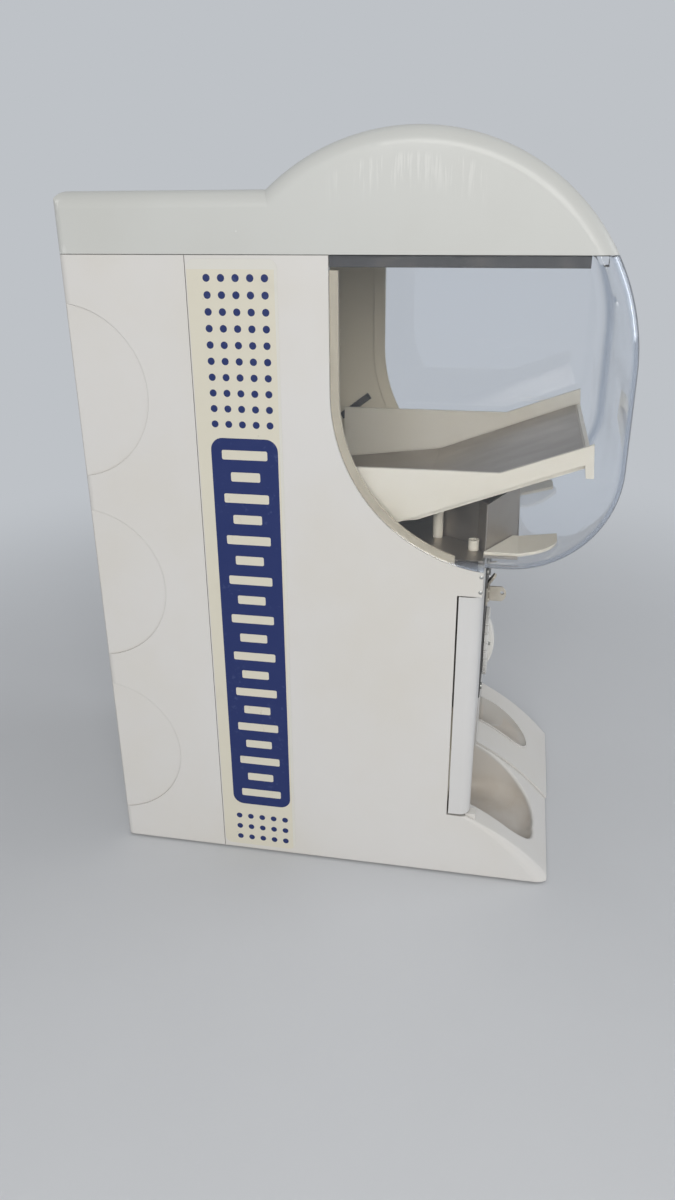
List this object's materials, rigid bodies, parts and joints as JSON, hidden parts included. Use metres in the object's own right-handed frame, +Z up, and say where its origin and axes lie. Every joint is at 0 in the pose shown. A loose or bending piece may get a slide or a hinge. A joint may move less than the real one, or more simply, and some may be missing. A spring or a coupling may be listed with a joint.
{
  "type": "capsule vending machine",
  "caption": "Table-top capsule-toy vending machine with a domed lift-off lid, clear bulging window, hinged front door, turning dial, geared capsule rotor and a scooped tray.",
  "frame": {"origin": "on the floor, under the middle of the machine's box", "axes": "+Z up, -Y is the front that the customer faces, +X is the customer's right"},
  "size_m": [0.231, 0.394, 0.567],
  "materials": {
    "shell_white": "satin moulded plastic, warm white",
    "lid_white": "gloss moulded plastic, cool white",
    "door_white": "satin paint on steel, bluish white",
    "inner_cream": "yellowed cream plastic",
    "clear_cover": "clear moulded plastic, scratched",
    "sticker_print": "printed film, cream with blue",
    "dial_white": "gloss moulded plastic",
    "dark_trim": "matte black rubber",
    "steel_sheet": "brushed stainless sheet",
    "zinc_steel": "zinc plated steel",
    "lock_chrome": "polished",
    "bush_brass": "machined",
    "gear_plastic": "natural white plastic"
  },
  "bodies": {
    "cabinet": {"rear_shell": "shell_white", "front_shell": "shell_white", "base_plate": "zinc_steel", "base_screws": "zinc_steel", "rubber_feet": "dark_trim", "lid_keeper": "zinc_steel", "window_cover": "clear_cover", "cover_clips": "dark_trim", "left_sticker": "sticker_print", "right_sticker": "sticker_print", "rail_screws": "zinc_steel", "door_strike": "zinc_steel", "mech_plate": "steel_sheet", "mech_frame": "zinc_steel", "mech_screws": "zinc_steel", "seal_lug": "steel_sheet", "shaft_bushes": "bush_brass", "coin_guide": "zinc_steel", "pawl_pin": "zinc_steel", "lever_pin": "zinc_steel", "drive_bracket": "zinc_steel", "rotor_bushes": "bush_brass", "rotor_base": "gear_plastic", "drop_guard": "inner_cream", "capsule_slope": "inner_cream", "slope_liner": "steel_sheet", "slope_posts": "inner_cream", "display_tray": "steel_sheet", "tray_apron": "inner_cream", "display_board": "steel_sheet", "wall_strip": "dark_trim", "capsule_chute": "gear_plastic", "return_cup": "shell_white"},
    "lid": {"top_cap": "lid_white", "lid_seal": "dark_trim", "lid_lock": "lock_chrome"},
    "lid_cam": {"lid_lock_cam": "zinc_steel"},
    "door": {"front_door": "door_white", "door_hinge_pins": "zinc_steel", "door_lock": "lock_chrome", "coin_box": "zinc_steel", "return_chute": "zinc_steel"},
    "door_cam": {"door_lock_cam": "zinc_steel"},
    "dial_drive": {"dial": "dial_white", "dial_shaft": "zinc_steel", "coin_wheel": "bush_brass", "ratchet_wheel": "zinc_steel", "bevel_pinion": "gear_plastic"},
    "rotor": {"capsule_rotor": "gear_plastic", "rotor_shaft": "zinc_steel", "bevel_gear": "gear_plastic"},
    "pawl": {"ratchet_pawl": "zinc_steel", "pawl_spring": "zinc_steel"},
    "lever": {"return_lever": "steel_sheet", "lever_spring": "zinc_steel"}
  },
  "joints": [
    {"name": "lid_lift", "type": "slide", "parent": "cabinet", "child": "lid", "axis": [0, 0, 1], "range_m": [0, 0.09]},
    {"name": "lid_lock_turn", "type": "hinge", "parent": "lid", "child": "lid_cam", "pos_m": [0, 0.16, 0.515], "axis": [0, 0, 1], "range_deg": [0, 90]},
    {"name": "door_open", "type": "hinge", "parent": "cabinet", "child": "door", "pos_m": [-0.111, -0.1, 0.159], "axis": [0, 0, -1], "range_deg": [0, 105]},
    {"name": "door_lock_turn", "type": "hinge", "parent": "door", "child": "door_cam", "pos_m": [0.092, -0.1, 0.19], "axis": [0, 1, 0], "range_deg": [0, 90]},
    {"name": "dial_turn", "type": "hinge", "parent": "cabinet", "child": "dial_drive", "pos_m": [0, -0.1, 0.166], "axis": [0, 1, 0], "continuous": true},
    {"name": "rotor_turn", "type": "hinge", "parent": "cabinet", "child": "rotor", "pos_m": [0, 0.097, 0.2], "axis": [0, 0, 1], "continuous": true},
    {"name": "pawl_swing", "type": "hinge", "parent": "cabinet", "child": "pawl", "pos_m": [-0.022, -0.078, 0.19], "axis": [0, -1, 0], "range_deg": [0, 18], "stiffness_Nm_per_rad": 0.02},
    {"name": "lever_press", "type": "hinge", "parent": "cabinet", "child": "lever", "pos_m": [0.008, -0.1, 0.207], "axis": [1, 0, 0], "range_deg": [0, 20], "stiffness_Nm_per_rad": 0.02}
  ],
  "couplings": [
    {"joint": "rotor_turn", "follows": "dial_turn", "ratio": -0.33333}
  ]
}
